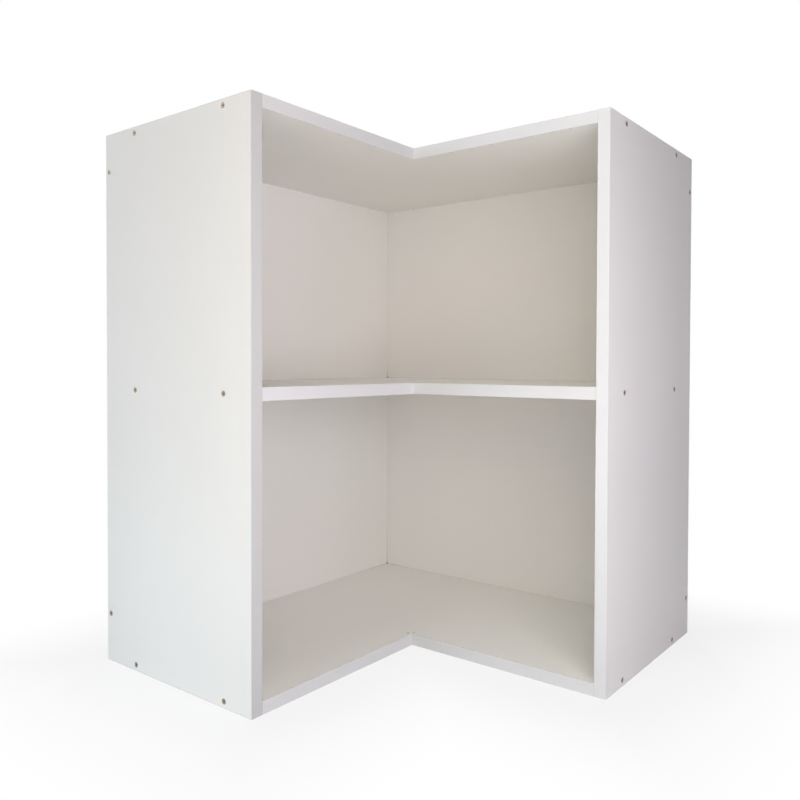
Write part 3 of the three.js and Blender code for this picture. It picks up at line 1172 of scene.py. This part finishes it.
def studio_floor():
    """A pale floor that keeps the cabinet's shadow and turns white away from it."""
    stage = bpy.context.scene.cabinet_stage
    finish = Finish(bpy.data.materials.new("studio_floor"))
    grain = finish.noise(finish.place(), grain=3 * MM, detail=2)
    base = tuple(stage.floor_colour)
    shade = finish.blend(grain * 0.05, base, tinted(base, 0.9))
    own = finish.node("ShaderNodeBsdfDiffuse", {}, {"Color": shade})
    white = finish.node("ShaderNodeEmission", {}, {"Color": (1, 1, 1, 1), "Strength": 1.0})
    x, y, _ = finish.parts(finish.place())
    half_box = -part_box("left_back_panel")[0].x
    half_arm = half_box / 2
    beside_left_arm = larger(abs(x + half_arm) - half_arm, abs(y) - half_box)
    beside_right_arm = larger(abs(y - half_arm) - half_arm, abs(x) - half_box)
    away = smaller(beside_left_arm, beside_right_arm)
    near = 1 - finish.ramp(away, SHADE_START, SHADE_END)
    factor = picture_rays(finish) * (1 - near * stage.shadow)
    shader = finish.node("ShaderNodeMixShader", {}, {0: factor, 1: own, 2: white})
    finish.node("ShaderNodeOutputMaterial", {}, {"Surface": shader})
    return finish.owner


def add_floor():
    stage = bpy.context.scene.cabinet_stage
    outline = {"vertices": FLOOR_SIDES, "radius": stage.floor_radius, "fill_type": "NGON"}
    bpy.ops.mesh.primitive_circle_add(location=(0, 0, -FLOOR_GAP), **outline)
    floor = put_in_mesh(bpy.context.object, "studio_floor")
    outer_ring = 0.8 * stage.floor_radius
    with shaping(floor, "FACE"):
        bpy.ops.mesh.select_all(action="SELECT")
        bpy.ops.mesh.inset(thickness=outer_ring, depth=0)
    floor.data.materials.append(studio_floor())


def add_world():
    """White for the camera and in reflections, and dark otherwise, so that lamps alone light the cabinet."""
    finish = Finish(bpy.data.worlds.new("studio"))
    white = {"Color": (1, 1, 1, 1), "Strength": picture_rays(finish)}
    sky = finish.node("ShaderNodeBackground", {}, white)
    finish.node("ShaderNodeOutputWorld", {}, {"Surface": sky})
    bpy.context.scene.world = finish.owner


class CABINET_OT_stage(bpy.types.Operator):
    """Add the camera, the floor, the background and the lamps"""

    bl_idname = "cabinet.stage"
    bl_label = "Stage"

    def execute(self, context):
        context.scene.view_settings.view_transform = "Standard"
        add_camera()
        add_floor()
        add_world()
        add_lamps()
        return {"FINISHED"}


# ---- The add-on ----

STEPS = (
    CABINET_OT_stage,
    CABINET_OT_end_panels,
    CABINET_OT_back_panels,
    CABINET_OT_decks,
    CABINET_OT_end_bands,
    CABINET_OT_deck_bands,
    CABINET_OT_screws,
)


class VIEW3D_PT_cabinet(bpy.types.Panel):
    """Lists the cabinet's sizes and colours, and the steps that build it"""

    bl_label = "Corner Wall Cabinet"
    bl_idname = "VIEW3D_PT_cabinet"
    bl_space_type = "VIEW_3D"
    bl_region_type = "UI"
    bl_category = "Cabinet"

    def draw(self, context):
        for name, group in GROUPS.items():
            box = self.layout.box()
            box.label(text=group.__doc__)
            for prop in group.__annotations__:
                box.prop(getattr(context.scene, name), prop)
        for step in STEPS:
            self.layout.operator(step.bl_idname)


CLASSES = (*GROUPS.values(), *STEPS, VIEW3D_PT_cabinet)


def register():
    for cls in CLASSES:
        bpy.utils.register_class(cls)
    for name, group in GROUPS.items():
        setattr(bpy.types.Scene, name, PointerProperty(type=group))


def unregister():
    for name in GROUPS:
        delattr(bpy.types.Scene, name)
    for cls in reversed(CLASSES):
        bpy.utils.unregister_class(cls)


def main():
    register()
    bpy.ops.cabinet.stage()
    bpy.ops.cabinet.end_panels()
    bpy.ops.cabinet.back_panels()
    bpy.ops.cabinet.decks()
    bpy.ops.cabinet.end_bands()
    bpy.ops.cabinet.deck_bands()
    bpy.ops.cabinet.screws()


if __name__ == "__main__":
    main()
